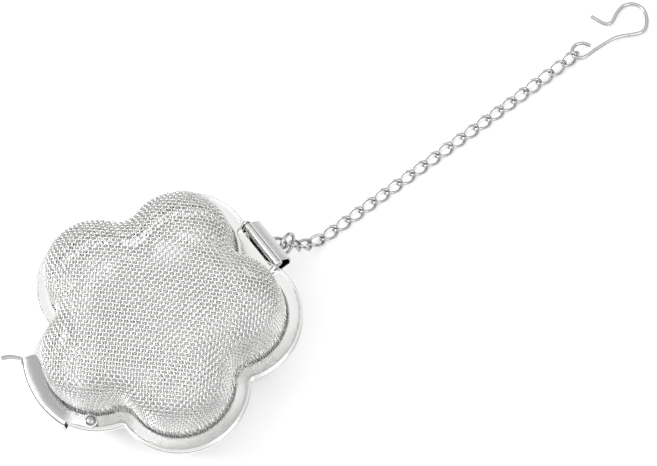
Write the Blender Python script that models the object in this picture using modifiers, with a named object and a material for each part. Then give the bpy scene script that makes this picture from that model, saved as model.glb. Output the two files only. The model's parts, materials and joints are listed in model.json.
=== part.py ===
"""Plum-blossom tea infuser: two wire-mesh domes in sheet-metal rims, hinged and latched, with chain and hook.

The ball rests on its lower dome. The origin is the middle of the dome's flat bottom, +Z is up, and the
hinge and the chain lie towards +X. Sizes are in millimetres and become metres when a mesh is made.
"""
import math

import bmesh
import bpy
import numpy as np
from mathutils import Matrix, Vector

MM = 0.001
MERGE = 0.00001

# Body outline: five petals, each a circular arc, joined by small fillets at the notches.
PETALS = 5
PETAL_REACH = 34.0
PETAL_CENTRE = 17.69
NOTCH_FILLET = 1.2
PETAL_ARC = PETAL_REACH - PETAL_CENTRE
HALF_PETAL = math.pi / PETALS
LATCH_PETAL = math.pi

# Rims, measured from the parting plane between the two halves.
PARTING_HEIGHT = 16.5
RIM_GAP = 0.15
RIM_TOP = 1.15
BEAD_TOP = 1.3
RIM_WIDTH = 3.3
SLOT_DEPTH_INSET = 1.5
SLOT_FLOOR = 0.38
SLOT_CEILING = 0.88

# Mesh domes.
MESH_WALL = 0.28
DOME_HEIGHT = PARTING_HEIGHT - MESH_WALL / 2

# Hinge.
PIN_X = 30.2
PIN_RISE = 2.65
PIN_RADIUS = 0.5
PIN_ENDS_Y = (-6.95, 7.6)
BARREL_RADIUS = 1.1
BARREL_HALF_LENGTH = 6.2
SHEET = 0.4
PLATE_EDGE_X = 33.5
PLATE_FOLD_X = PLATE_EDGE_X - 0.35
TONGUE_HEIGHT = PARTING_HEIGHT - BEAD_TOP - 0.3 - SHEET / 2
BRACKET_FOOT_X = 27.0
LUG_CENTRES_Y = (-6.48, 6.75)
LUG_HALF = 0.22
LUG_RADIUS = 1.15
PIN_CLEARANCE = 0.15
LEAF_GAP = 0.15
LEAF_THICKNESS = 0.5
LEAF_SIDE = [(24.9, 1.4), (26.7, 4.4), (27.6, 7.05), (28.6, 7.05)]
EAR_SLOPE = math.radians(38)
EAR_REACH = 1.9
EAR_RADIUS = 2.05
EAR_HOLE = 1.15
EAR_SHEET = 0.44
EAR_ROOT_HALF = 2.6
RING_SEAT_CLEARANCE = 0.12

# Latch lever: a channel that closes over both rims, riveted to the upper rim.
LEVER_CENTRE = Vector((-10.3, 1.0))
LEVER_RADIUS = 24.6
LEVER_SHEET = 0.45
LEVER_CLEAR = 1.45
LEVER_TIP = math.radians(150.8)
LEVER_HEEL = math.radians(200.4)
HOOK_FLANGE = 2.2
RIVET_POLAR = (14.5, math.radians(228))
RIVET_RADIUS = 0.7
RIVET_HEAD = 1.35
RIVET_EYE = 1.65
RIVET_PLAY = 0.12
LEVER_INNER_EDGE = [
    (-29.6, 11.2), (-30.6, 7.0), (-31.1, 3.2), (-31.0, 0.0), (-30.3, -3.6), (-28.8, -7.0), (-27.3, -9.1),
]
LEVER_SHOULDER = (-30.6, -9.6)
THUMB_TAB = [(-32.2, 13.9), (-33.1, 14.9), (-34.2, 15.7), (-35.4, 16.3)]
THUMB_TAB_HEIGHT = 2.1

# Chain: every link is an oval wire ring twisted a quarter turn end to end.
WIRE = 0.74
PLAY = 0.2
PITCH = 3.93
LINK_HALF_LENGTH = (PITCH + WIRE + PLAY) / 2
LINK_HALF_WIDTH = 1.42
LINK_TWIST = math.radians(45)
LINK_STEPS = 14
RING_WIRE = 0.9
RING_RADIUS = 2.65
RING_DROP = math.radians(66)
RING_ROLL = math.radians(65)
DESCENT = [math.radians(angle) for angle in (60, 46, 25)]
LINKS_ON_TABLE = 15
# The last links climb a little and roll over until the hook's eye can pass through the last one upright.
ASCENT = [math.radians(angle) for angle in (-3, -3, -3, -2, -1)]
ASCENT_ROLL = [math.radians(angle) for angle in (9, 18, 27, 36, 45)]

# Hook: an S of wire that closes into a small eye. Points along its middle, from the eye's inner end.
HOOK_WIRE = 0.95
HOOK_PLAY = 0.3
HOOK_END_HEIGHT = HOOK_WIRE / 2
HOOK_ROUTE = [
    (5.0, -0.25), (4.1, 1.35), (2.5, 2.15), (0.9, 1.75), (0.0, 0.35), (0.45, -1.15), (2.2, -1.95),
    (6.6, -1.95), (11.6, -2.45), (17.2, -5.0), (20.0, -3.7), (21.6, -0.6), (21.0, 2.2), (18.7, 3.6),
    (16.0, 3.1), (13.4, 1.8), (11.6, 2.5), (10.3, 6.2),
]

PARTS = bpy.data.collections.new("tea_infuser")
CUTTERS = bpy.data.collections.new("cutters")


def clear_scene():
    """Remove every object and link the two collections."""
    for existing in list(bpy.data.objects):
        bpy.data.objects.remove(existing, do_unlink=True)
    bpy.context.scene.collection.children.link(PARTS)
    bpy.context.scene.collection.children.link(CUTTERS)


def metal(name, colour, roughness):
    """A bare metal finish."""
    material = bpy.data.materials.new(name)
    material.use_nodes = True
    shader = material.node_tree.nodes["Principled BSDF"]
    shader.inputs["Base Color"].default_value = (*colour, 1.0)
    shader.inputs["Metallic"].default_value = 1.0
    shader.inputs["Roughness"].default_value = roughness
    return material


def add_mesh_object(name, mesh_builder, material, collection=PARTS, smooth_angle=40):
    """Turn a bmesh in millimetres into a named object in metres with its normals pointing out."""
    bmesh.ops.recalc_face_normals(mesh_builder, faces=mesh_builder.faces)
    bmesh.ops.scale(mesh_builder, vec=(MM, MM, MM), verts=mesh_builder.verts)
    mesh = bpy.data.meshes.new(name)
    mesh_builder.to_mesh(mesh)
    mesh_builder.free()
    mesh.shade_smooth()
    mesh.set_sharp_from_angle(angle=math.radians(smooth_angle))
    piece = bpy.data.objects.new(name, mesh)
    collection.objects.link(piece)
    if material:
        mesh.materials.append(material)
    return piece


def set_origin(piece, point):
    """Move an object's origin to a point in millimetres without moving its surface."""
    shift = Vector(point) * MM
    piece.data.transform(Matrix.Translation(-shift))
    piece.location = shift


def loft(rings, closed_section=False, open_start=False):
    """Skin a list of rings of equal length; a closed section joins the last ring to the first."""
    builder = bmesh.new()
    grid = [[builder.verts.new(point) for point in ring] for ring in rings]
    count = len(grid[0])
    pairs = list(zip(grid, grid[1:]))
    if closed_section:
        pairs.append((grid[-1], grid[0]))
    for lower, upper in pairs:
        for index in range(count):
            following = (index + 1) % count
            builder.faces.new((lower[index], lower[following], upper[following], upper[index]))
    if not closed_section:
        builder.faces.new(grid[-1])
        if not open_start:
            builder.faces.new(grid[0])
    return builder


def prism(outline, bottom, top):
    """A flat outline with straight sides between two heights, from a filled 2D curve."""
    curve = bpy.data.curves.new("outline", "CURVE")
    curve.dimensions = "2D"
    curve.fill_mode = "BOTH"
    curve.extrude = (top - bottom) / 2
    spline = curve.splines.new("POLY")
    spline.points.add(len(outline) - 1)
    for slot, (x, y) in zip(spline.points, outline):
        slot.co = (x, y, 0.0, 1.0)
    spline.use_cyclic_u = True
    guide = bpy.data.objects.new("outline", curve)
    CUTTERS.objects.link(guide)
    evaluated = guide.evaluated_get(bpy.context.evaluated_depsgraph_get())
    builder = bmesh.new()
    builder.from_mesh(bpy.data.meshes.new_from_object(evaluated))
    bpy.data.objects.remove(guide, do_unlink=True)
    bmesh.ops.remove_doubles(builder, verts=builder.verts, dist=MERGE)
    bmesh.ops.translate(builder, vec=(0, 0, (bottom + top) / 2), verts=builder.verts)
    return builder


def turned(name, profile, centre, material, steps=20):
    """A profile of radii and heights, listed from the top down, spun round an upright axis."""
    builder = bmesh.new()
    column = [builder.verts.new((radius, 0.0, height)) for radius, height in profile]
    for upper, lower in zip(column, column[1:]):
        builder.edges.new((upper, lower))
    piece = add_mesh_object(name, builder, material)
    piece.location = (centre[0] * MM, centre[1] * MM, 0.0)
    screw = piece.modifiers.new("spin", "SCREW")
    screw.steps = steps
    screw.render_steps = steps
    screw.use_merge_vertices = True
    screw.merge_threshold = MERGE
    return piece


def attach(child, parent):
    """Parent a piece to one that is moved but not turned, and leave it where it is."""
    child.parent = parent
    child.matrix_parent_inverse = Matrix.Translation(-parent.location)


def cylinder(radius, start, end, sides=20):
    """A solid cylinder between two points."""
    builder = bmesh.new()
    axis = Vector(end) - Vector(start)
    bmesh.ops.create_cone(builder, cap_ends=True, segments=sides, radius1=radius, radius2=radius,
                          depth=axis.length)
    turn = axis.to_track_quat("Z", "Y").to_matrix().to_4x4()
    middle = (Vector(start) + Vector(end)) / 2
    bmesh.ops.transform(builder, matrix=Matrix.Translation(middle) @ turn, verts=builder.verts)
    return builder


def apply_booleans(piece, tools, operation):
    """Join or cut a piece with other objects, keep the result as plain mesh and drop the tools."""
    for tool in tools:
        modifier = piece.modifiers.new(operation.lower(), "BOOLEAN")
        modifier.operation = operation
        modifier.object = tool
        modifier.solver = "EXACT"
    evaluated = piece.evaluated_get(bpy.context.evaluated_depsgraph_get())
    result = bpy.data.meshes.new_from_object(evaluated)
    piece.modifiers.clear()
    piece.data = result
    for tool in tools:
        bpy.data.objects.remove(tool, do_unlink=True)


def cutter(name, builder):
    """A hidden tool for a Boolean."""
    tool = add_mesh_object(name, builder, None, CUTTERS)
    tool.hide_render = True
    tool.display_type = "WIRE"
    return tool


def polar(centre, radius, angle):
    """A point at a radius and angle around a centre."""
    return Vector((centre[0] + radius * math.cos(angle), centre[1] + radius * math.sin(angle)))


def fillet_distance():
    """Distance from the middle of the ball to the middle of a notch's fillet."""
    along = PETAL_CENTRE * math.cos(HALF_PETAL)
    across = PETAL_CENTRE * math.sin(HALF_PETAL)
    return along + math.sqrt((PETAL_ARC + NOTCH_FILLET) ** 2 - across ** 2)


def flower(inset, petal_steps, notch_steps):
    """The blossom's outline, moved inwards by an inset: petal arcs joined by notch arcs."""
    points = []
    for petal in range(PETALS):
        axis = HALF_PETAL * (2 * petal + 1)
        centre = polar((0, 0), PETAL_CENTRE, axis)
        notch = polar((0, 0), fillet_distance(), axis + HALF_PETAL)
        half_sweep = (notch - centre).angle(Vector((math.cos(axis), math.sin(axis))))
        for step in range(petal_steps):
            angle = axis + half_sweep * (2 * step / petal_steps - 1)
            points.append(polar(centre, PETAL_ARC - inset, angle))
        start = axis + half_sweep + math.pi
        sweep = -2 * (half_sweep - HALF_PETAL)
        for step in range(notch_steps):
            angle = start + sweep * step / notch_steps
            points.append(polar(notch, NOTCH_FILLET + inset, angle))
    return points


def at_height(points, height):
    """Give a flat outline a height."""
    return [(x, y, height) for x, y in points]


def make_rim(name, side, material):
    """A folded band: open slot on the inside for the mesh, rolled bead on the outside."""
    section = [
        (0.25, RIM_GAP), (0.0, 0.42), (0.0, 1.0), (0.22, BEAD_TOP), (0.55, BEAD_TOP), (0.8, RIM_TOP),
        (RIM_WIDTH, RIM_TOP), (RIM_WIDTH, SLOT_CEILING), (SLOT_DEPTH_INSET, SLOT_CEILING),
        (SLOT_DEPTH_INSET, SLOT_FLOOR), (RIM_WIDTH, SLOT_FLOOR), (RIM_WIDTH, RIM_GAP),
    ]
    rings = [at_height(flower(inset, 10, 3), PARTING_HEIGHT + side * rise) for inset, rise in section]
    return add_mesh_object(name, loft(rings, closed_section=True), material)


def dome_ring(inset, scale, rounding):
    """A level of the dome: the outline moved in, then shrunk and blended towards a circle."""
    base = flower(inset, 8, 2)
    mean = sum(point.length for point in base) / len(base)
    ring = []
    for point in base:
        length = point.length + (mean - point.length) * rounding
        ring.append(point.normalized() * length * scale)
    return ring


def make_dome(name, side, material):
    """A thin pressed dome whose brim sits in the rim's slot."""
    middle = (SLOT_FLOOR + SLOT_CEILING) / 2
    levels = [
        (2.2, 1.0, 0.0, middle), (3.45, 1.0, 0.0, middle), (3.85, 1.0, 0.0, 1.3), (3.75, 1.0, 0.0, 5.0),
        (3.95, 1.0, 0.0, 9.3), (4.8, 1.0, 0.0, 12.4), (6.6, 0.97, 0.08, 14.5), (6.6, 0.80, 0.25, 15.6),
        (6.6, 0.56, 0.5, 16.15), (6.6, 0.22, 1.0, DOME_HEIGHT),
    ]
    rings = [at_height(dome_ring(inset, scale, rounding), PARTING_HEIGHT + side * rise)
             for inset, scale, rounding, rise in levels]
    dome = add_mesh_object(name, loft(rings, open_start=True), material)
    wall = dome.modifiers.new("wall", "SOLIDIFY")
    wall.thickness = MESH_WALL * MM
    wall.offset = 0.0
    return dome


def strip_along(path, half_thickness):
    """The two long sides of a path thickened to a strip, as one closed outline."""
    left = []
    right = []
    for index, point in enumerate(path):
        before = path[max(index - 1, 0)]
        after = path[min(index + 1, len(path) - 1)]
        along = (after - before).normalized()
        across = Vector((-along.y, along.x)) * half_thickness
        left.append(point + across)
        right.append(point - across)
    return left + right[::-1]


def extrude_along_y(outline, half_length, centre_y=0.0):
    """A section in the XZ plane extruded along the hinge line."""
    builder = prism(outline, -half_length, half_length)
    stand = Matrix(((1, 0, 0, 0), (0, 0, -1, centre_y), (0, 1, 0, 0), (0, 0, 0, 1)))
    bmesh.ops.transform(builder, matrix=stand, verts=builder.verts)
    return builder


def make_bracket(pin, material):
    """The lower half's bracket: a foot, a folded plate, a rolled barrel and the ear for the chain."""
    roll_radius = BARREL_RADIUS - SHEET / 2
    roll = [polar(pin, roll_radius, math.radians(angle)) for angle in range(215, 29, -20)]
    fold = [
        Vector((PLATE_FOLD_X, PARTING_HEIGHT + 1.05)),
        Vector((PLATE_FOLD_X + 0.3, PARTING_HEIGHT + 0.6)),
        Vector((PLATE_FOLD_X + 0.3, TONGUE_HEIGHT + 0.45)),
        Vector((PLATE_FOLD_X - 0.05, TONGUE_HEIGHT)),
    ]
    foot = [Vector((BRACKET_FOOT_X, TONGUE_HEIGHT))]
    section = strip_along(roll + fold + foot, SHEET / 2)
    bracket = add_mesh_object("hinge_bracket", extrude_along_y(section, BARREL_HALF_LENGTH), material)

    slope = Vector((math.cos(EAR_SLOPE), -math.sin(EAR_SLOPE)))
    root = Vector((PLATE_FOLD_X, TONGUE_HEIGHT))
    ear_centre = root + slope * EAR_REACH
    lobe = [polar((EAR_REACH, 0), EAR_RADIUS, math.radians(angle)) for angle in np.linspace(-100, 100, 17)]
    ear_outline = [Vector((0.0, -EAR_ROOT_HALF))] + lobe + [Vector((0.0, EAR_ROOT_HALF))]
    ear_builder = prism(ear_outline, -EAR_SHEET / 2, EAR_SHEET / 2)
    tilt = Matrix.Translation((root.x, 0, root.y)) @ Matrix.Rotation(EAR_SLOPE, 4, "Y")
    bmesh.ops.transform(ear_builder, matrix=tilt, verts=ear_builder.verts)
    apply_booleans(bracket, [cutter("ear", ear_builder)], "UNION")
    normal = Vector((-slope.y, slope.x)) * 2
    below = (ear_centre.x - normal.x, 0, ear_centre.y - normal.y)
    above = (ear_centre.x + normal.x, 0, ear_centre.y + normal.y)
    apply_booleans(bracket, [cutter("ear_hole", cylinder(EAR_HOLE, below, above))], "DIFFERENCE")
    return ear_centre, slope


def make_leaf(pin, material):
    """The upper half's leaf: a pad on the rim with a lug at each end of the barrel."""
    low = PARTING_HEIGHT + BEAD_TOP + LEAF_GAP
    high = low + LEAF_THICKNESS
    pad = LEAF_SIDE + [(x, -y) for x, y in reversed(LEAF_SIDE)]
    leaf = add_mesh_object("hinge_leaf", prism(pad, low, high), material)
    eye = [polar(pin, LUG_RADIUS, math.radians(angle)) for angle in range(-120, 121, 20)]
    lug = [Vector((27.4, low + 0.05)), Vector((28.2, low + 0.05))] + eye + [Vector((27.4, high))]
    lugs = []
    holes = []
    for centre in LUG_CENTRES_Y:
        lugs.append(cutter("lug", extrude_along_y(lug, LUG_HALF, centre)))
        ends = [(pin.x, centre + side, pin.y) for side in (-1, 1)]
        holes.append(cutter("lug_hole", cylinder(PIN_RADIUS + PIN_CLEARANCE, *ends, 16)))
    apply_booleans(leaf, lugs, "UNION")
    apply_booleans(leaf, holes, "DIFFERENCE")
    set_origin(leaf, (pin.x, 0, pin.y))
    return leaf


def make_hinge(material, steel):
    """Bracket, leaf and pin; returns the leaf, the middle of the chain ear and the ear's slope."""
    pin = Vector((PIN_X, PARTING_HEIGHT + PIN_RISE))
    ear_centre, slope = make_bracket(pin, material)
    leaf = make_leaf(pin, material)
    ends = [(pin.x, end, pin.y) for end in PIN_ENDS_Y]
    shaft = add_mesh_object("hinge_pin", cylinder(PIN_RADIUS, *ends, 16), steel)
    set_origin(shaft, (pin.x, 0, pin.y))
    return leaf, ear_centre, slope


def make_latch(upper_rim, upper_dome, material, steel):
    """The swinging lever and the rivet it turns on; returns the rivet."""
    petal = polar((0, 0), PETAL_CENTRE, LATCH_PETAL)
    rivet = polar(petal, *RIVET_POLAR)
    low = PARTING_HEIGHT + LEVER_CLEAR
    high = low + LEVER_SHEET
    hook_low = PARTING_HEIGHT - LEVER_CLEAR - LEVER_SHEET
    arc = np.linspace(LEVER_HEEL, LEVER_TIP, 13)
    eye = [polar(rivet, RIVET_EYE, math.radians(angle)) for angle in range(30, -151, -20)]
    outer_edge = [polar(LEVER_CENTRE, LEVER_RADIUS + 0.05, angle) for angle in arc]
    outline = LEVER_INNER_EDGE + eye + [LEVER_SHOULDER] + outer_edge
    lever = add_mesh_object("latch_lever", prism(outline, low, high), material)

    inside = LEVER_RADIUS - LEVER_SHEET
    web_top = high - 0.05
    section = [
        (LEVER_RADIUS, hook_low), (LEVER_RADIUS, web_top),
        (inside, web_top), (inside, hook_low + LEVER_SHEET),
        (LEVER_RADIUS - HOOK_FLANGE, hook_low + LEVER_SHEET), (LEVER_RADIUS - HOOK_FLANGE, hook_low),
    ]
    rings = [[(*polar(LEVER_CENTRE, radius, angle), height) for radius, height in section] for angle in arc]
    web = cutter("web", loft(rings))
    middle = LEVER_RADIUS - LEVER_SHEET / 2
    tab_root = [polar(LEVER_CENTRE, middle, LEVER_TIP + 0.04), polar(LEVER_CENTRE, middle, LEVER_TIP)]
    tab_outline = strip_along(tab_root + [Vector(point) for point in THUMB_TAB], LEVER_SHEET / 2 - 0.03)
    tab_top = high - 0.1
    tab = cutter("tab", prism(tab_outline, tab_top - THUMB_TAB_HEIGHT, tab_top))
    apply_booleans(lever, [web, tab], "UNION")
    bore = (rivet.x, rivet.y, low - 0.5), (rivet.x, rivet.y, high + 0.5)
    apply_booleans(lever, [cutter("lever_bore", cylinder(RIVET_RADIUS + 0.15, *bore))], "DIFFERENCE")
    set_origin(lever, (rivet.x, rivet.y, low))

    through = (rivet.x, rivet.y, PARTING_HEIGHT), (rivet.x, rivet.y, PARTING_HEIGHT + BEAD_TOP + 0.5)
    apply_booleans(upper_rim, [cutter("rim_bore", cylinder(RIVET_RADIUS + 0.15, *through))], "DIFFERENCE")
    brim = (rivet.x, rivet.y, PARTING_HEIGHT), (rivet.x, rivet.y, PARTING_HEIGHT + SLOT_CEILING + 0.1)
    apply_booleans(upper_dome, [cutter("brim_bore", cylinder(RIVET_RADIUS + 0.25, *brim))], "DIFFERENCE")

    head = high + RIVET_PLAY
    foot = PARTING_HEIGHT + RIM_GAP + 0.05
    profile = [(0.0, head + 0.66), (0.5, head + 0.66), (1.05, head + 0.5), (RIVET_HEAD, head + 0.2),
               (RIVET_HEAD, head), (RIVET_RADIUS, head), (RIVET_RADIUS, foot), (0.0, foot)]
    latch_rivet = turned("latch_rivet", profile, rivet, steel)
    attach(lever, latch_rivet)
    return latch_rivet


def wire_object(name, points, wire, closed, material, resolution=1):
    """A wire along points in millimetres."""
    curve = bpy.data.curves.new(name, "CURVE")
    curve.dimensions = "3D"
    curve.bevel_depth = wire / 2 * MM
    curve.bevel_resolution = resolution
    curve.use_fill_caps = not closed
    spline = curve.splines.new("POLY")
    spline.points.add(len(points) - 1)
    for slot, point in zip(spline.points, points):
        slot.co = (*(Vector(point) * MM), 1.0)
    spline.use_cyclic_u = closed
    curve.materials.append(material)
    piece = bpy.data.objects.new(name, curve)
    PARTS.objects.link(piece)
    return piece


def link_points():
    """One turn of a twisted oval link, centred on the origin and lying along X."""
    points = []
    for step in range(LINK_STEPS):
        turn = 2 * math.pi * step / LINK_STEPS
        across = LINK_HALF_WIDTH * math.sin(turn)
        twist = LINK_TWIST * math.cos(turn)
        along = LINK_HALF_LENGTH * math.cos(turn)
        points.append(Vector((along, across * math.cos(twist), across * math.sin(twist))))
    return points


def ring_points():
    """The jump ring, centred on the origin and rolled so that it passes the ear's hole and the first link."""
    steps = 18
    turns = [2 * math.pi * step / steps for step in range(steps)]
    flat = [Vector((RING_RADIUS * math.cos(turn), RING_RADIUS * math.sin(turn), 0)) for turn in turns]
    roll = Matrix.Rotation(RING_ROLL, 3, "X")
    return [roll @ point for point in flat]


def place(points, centre, drop, roll=0.0):
    """Roll points about their own length, tip them downwards and move them to a centre."""
    turn = Matrix.Rotation(drop, 3, "Y") @ Matrix.Rotation(roll, 3, "X")
    return [turn @ point + centre for point in points]


def downward(drop):
    """The direction of a link that slopes down at an angle."""
    return Vector((math.cos(drop), 0, -math.sin(drop)))


def make_chain(ear_centre, slope, steel):
    """Jump ring and links, from the ear down to the table; returns the last pivot and link."""
    seat = EAR_HOLE - RING_WIRE / 2 - RING_SEAT_CLEARANCE
    start = Vector((ear_centre.x + slope.x * seat, 0, ear_centre.y + slope.y * seat))
    along = downward(RING_DROP)
    ring = wire_object("jump_ring", place(ring_points(), start + along * RING_RADIUS, RING_DROP), RING_WIRE,
                       True, steel)
    set_curve_origin(ring, start)
    pivot = start + along * (2 * RING_RADIUS - (RING_WIRE + PLAY) / 2)
    held_by = ring
    drops = DESCENT + [0.0] * LINKS_ON_TABLE + ASCENT
    rolls = [0.0] * (len(drops) - len(ASCENT_ROLL)) + ASCENT_ROLL
    for number, (drop, roll) in enumerate(zip(drops, rolls), start=1):
        along = downward(drop)
        centre = pivot + along * (PITCH / 2)
        points = place(link_points(), centre, drop, roll)
        link = wire_object(f"chain_link_{number:02d}", points, WIRE, True, steel)
        set_curve_origin(link, pivot)
        attach(link, held_by)
        held_by = link
        pivot = pivot + along * PITCH
    return pivot, held_by


def set_curve_origin(piece, point):
    """Move a curve's origin to a point in millimetres without moving the wire."""
    shift = Vector(point) * MM
    piece.data.transform(Matrix.Translation(-shift))
    piece.location = shift


def smooth_route(route, steps):
    """Points on a Catmull-Rom curve through a route."""
    padded = [route[0] * 2 - route[1]] + route + [route[-1] * 2 - route[-2]]
    points = []
    for before, start, end, after in zip(padded, padded[1:], padded[2:], padded[3:]):
        for step in range(steps):
            t = step / steps
            square = (2 * before - 5 * start + 4 * end - after) * t ** 2
            cube = (3 * start - before - 3 * end + after) * t ** 3
            points.append((2 * start + (end - before) * t + square + cube) / 2)
    return points + [route[-1]]


def make_hook(pivot, last_link, steel):
    """The S hook, lying on the table with its eye round the last link."""
    eye_start = pivot.x - HOOK_WIRE / 2 - HOOK_PLAY
    length = max(x for x, y in HOOK_ROUTE)
    fall = HOOK_END_HEIGHT - pivot.z
    route = [Vector((eye_start + x, y, pivot.z + fall * x / length)) for x, y in HOOK_ROUTE]
    hook = wire_object("cup_hook", smooth_route(route, 3), HOOK_WIRE, False, steel, 2)
    set_curve_origin(hook, pivot)
    attach(hook, last_link)


def main():
    clear_scene()
    polished = metal("polished_steel", (0.78, 0.79, 0.80), 0.18)
    wire = metal("woven_steel", (0.62, 0.63, 0.65), 0.3)
    dark = metal("lever_steel", (0.5, 0.5, 0.52), 0.25)
    make_rim("lower_rim", -1, polished)
    make_dome("lower_mesh", -1, wire)
    upper_rim = make_rim("upper_rim", 1, polished)
    upper_dome = make_dome("upper_mesh", 1, wire)
    leaf, ear_centre, slope = make_hinge(polished, polished)
    rivet = make_latch(upper_rim, upper_dome, dark, polished)
    for lid_piece in (upper_rim, upper_dome, rivet):
        attach(lid_piece, leaf)
    pivot, last_link = make_chain(ear_centre, slope, polished)
    make_hook(pivot, last_link, polished)


main()
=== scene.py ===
"""Looks for a plum-blossom tea infuser.

It has woven domes in folded rims, a pin hinge, a latch lever, a chain and a hook.
Sizes inside the shape functions are in millimetres and become metres when a mesh is made.
"""
import json
import math

import bmesh
import bpy
import numpy as np
from mathutils import Matrix, Vector


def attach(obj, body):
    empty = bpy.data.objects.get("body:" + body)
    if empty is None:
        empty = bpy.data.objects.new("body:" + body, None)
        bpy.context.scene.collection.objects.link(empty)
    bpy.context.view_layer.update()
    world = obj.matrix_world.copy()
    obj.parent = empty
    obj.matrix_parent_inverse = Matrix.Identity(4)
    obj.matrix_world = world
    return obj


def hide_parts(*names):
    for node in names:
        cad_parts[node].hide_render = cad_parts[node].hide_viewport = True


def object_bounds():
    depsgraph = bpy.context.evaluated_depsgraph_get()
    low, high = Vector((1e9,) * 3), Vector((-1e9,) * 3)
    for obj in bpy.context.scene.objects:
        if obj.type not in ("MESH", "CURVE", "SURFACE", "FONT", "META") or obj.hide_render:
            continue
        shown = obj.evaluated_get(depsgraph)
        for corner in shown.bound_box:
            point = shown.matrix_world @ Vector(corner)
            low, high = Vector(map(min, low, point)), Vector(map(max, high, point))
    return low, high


bl_info = {
    "name": "Blossom Tea Infuser",
    "version": (1, 0, 0),
    "blender": (4, 5, 0),
    "location": "View3D > Sidebar > Infuser",
    "description": "Builds the visible pieces of a wire-mesh tea infuser round its packed frame",
    "category": "Object",
}

MM = 0.001
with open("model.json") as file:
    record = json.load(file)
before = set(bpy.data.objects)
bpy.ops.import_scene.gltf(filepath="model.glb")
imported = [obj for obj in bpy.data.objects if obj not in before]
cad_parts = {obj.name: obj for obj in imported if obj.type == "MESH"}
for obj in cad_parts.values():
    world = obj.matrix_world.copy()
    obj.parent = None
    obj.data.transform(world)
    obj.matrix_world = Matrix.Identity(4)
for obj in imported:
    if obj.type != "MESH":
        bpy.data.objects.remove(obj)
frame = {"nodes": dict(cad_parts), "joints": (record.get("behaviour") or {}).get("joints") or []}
CAD_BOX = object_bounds()

# Body outline: five petals, each a circular arc, joined by small fillets at the notches.
# The steps are the points along one petal and along one notch, for a rim and for the brim wires.
PETALS = 5
PETAL_CENTRE = 17.69
PETAL_ARC = 16.31
NOTCH_FILLET = 1.2
HALF_PETAL = math.pi / PETALS
PARTING_HEIGHT = 16.5
RIM_STEPS = (44, 12)
FINE_STEPS = (400, 120)

# Rim section: distance in from the outline, height from the parting plane.
# It is a folded band with a rolled edge.
RIM_SECTION = (
    (0.55, 0.15), (0.36, 0.20), (0.18, 0.34), (0.06, 0.52), (0.0, 0.72), (0.0, 0.95), (0.05, 1.14),
    (0.17, 1.26), (0.34, 1.30), (0.52, 1.27), (0.66, 1.19), (0.82, 1.12), (1.10, 1.09), (1.90, 1.08),
    (2.70, 1.10), (3.05, 1.14), (3.20, 1.13), (3.29, 1.05), (3.30, 0.95), (3.22, 0.89), (1.5, 0.88),
    (1.5, 0.38), (3.22, 0.37), (3.30, 0.30), (3.28, 0.20), (3.1, 0.15),
)

# Dome levels: inset of the outline, scale, rounding towards a circle, rise from the parting plane.
DOME_LEVELS = (
    (2.0, 1.0, 0.0, 0.63), (3.45, 1.0, 0.0, 0.63), (3.9, 1.0, 0.0, 1.2), (3.8, 1.0, 0.0, 5.0),
    (3.98, 1.0, 0.0, 9.3), (4.8, 1.0, 0.0, 12.4), (6.6, 0.97, 0.08, 14.5), (6.6, 0.80, 0.25, 15.6),
    (6.6, 0.56, 0.5, 16.15), (6.6, 0.22, 1.0, 16.36), (6.6, 0.0, 1.0, 16.40),
)
LEVEL_STEPS = 8

# Wire cloth: how far its middle lies under the dome's face, the rise where warp and weft end, how far the
# flat sheet reaches, and the step that a normal is measured over. A wire bends at a share of the spacing on
# each side of a crossing, and moves off the cloth's middle by a share of its diameter.
WEAVE_SINK = 0.13
WEAVE_FOOT = 3.9
SHEET_REACH = 42.0
NORMAL_STEP = 0.05
KNUCKLE_SHARE = 0.22
CRIMP_SHARE = 0.45

# Bars of wire that cross the trough between wall and rim: inset and rise of the points they pass.
# They lean by two waves, each a size and a rate from bar to bar, above a rise where they stand straight.
BRIM_BAR = (
    (2.3, 0.63), (2.95, 0.60), (3.35, 0.45), (3.68, 0.6), (3.85, 1.1), (3.92, 2.0), (3.88, 3.1), (3.9, 4.0),
    (4.0, 5.0),
)
BRIM_LEAN = ((0.12, 2.4), (0.08, 0.37))
BRIM_LEAN_FROM = 0.6
BRIM_WIRE_SHARE = 1.2

# Hinge: sheet rolled round the pin over these degrees, its foot, the ear, and the leaf with its lugs.
BARREL_RADIUS = 1.1
BARREL_HALF_LENGTH = 6.2
BARREL_STATIONS = (-1.0, -0.985, 0.985, 1.0)
BARREL_ROLL = range(215, 29, -6)
PIN_RADIUS = 0.5
PIN_PLAY = 0.1
PIN_ENDS_Y = (-6.95, 7.6)
HINGE_SHEET = 0.4
PLATE_EDGE_X = 33.5
FOOT_X = 27.0
TONGUE_DROP = 1.8
LUG_CENTRES_Y = (-6.48, 6.75)
LUG_HALF = 0.22
EAR_SLOPE = math.radians(38)
EAR_REACH = 1.9
EAR_RADIUS = 2.05
EAR_HOLE = 1.15
EAR_SHOULDER = ((0.95, 2.3), (0.3, 3.3), (-0.2, 3.6))
LEAF_RISE = 1.45
LEAF_SHEET = 0.5
LEAF_SIDE = ((24.9, 1.4), (26.7, 4.4), (27.6, 7.05), (28.6, 7.05))
LUG_RADIUS = 1.15

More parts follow.
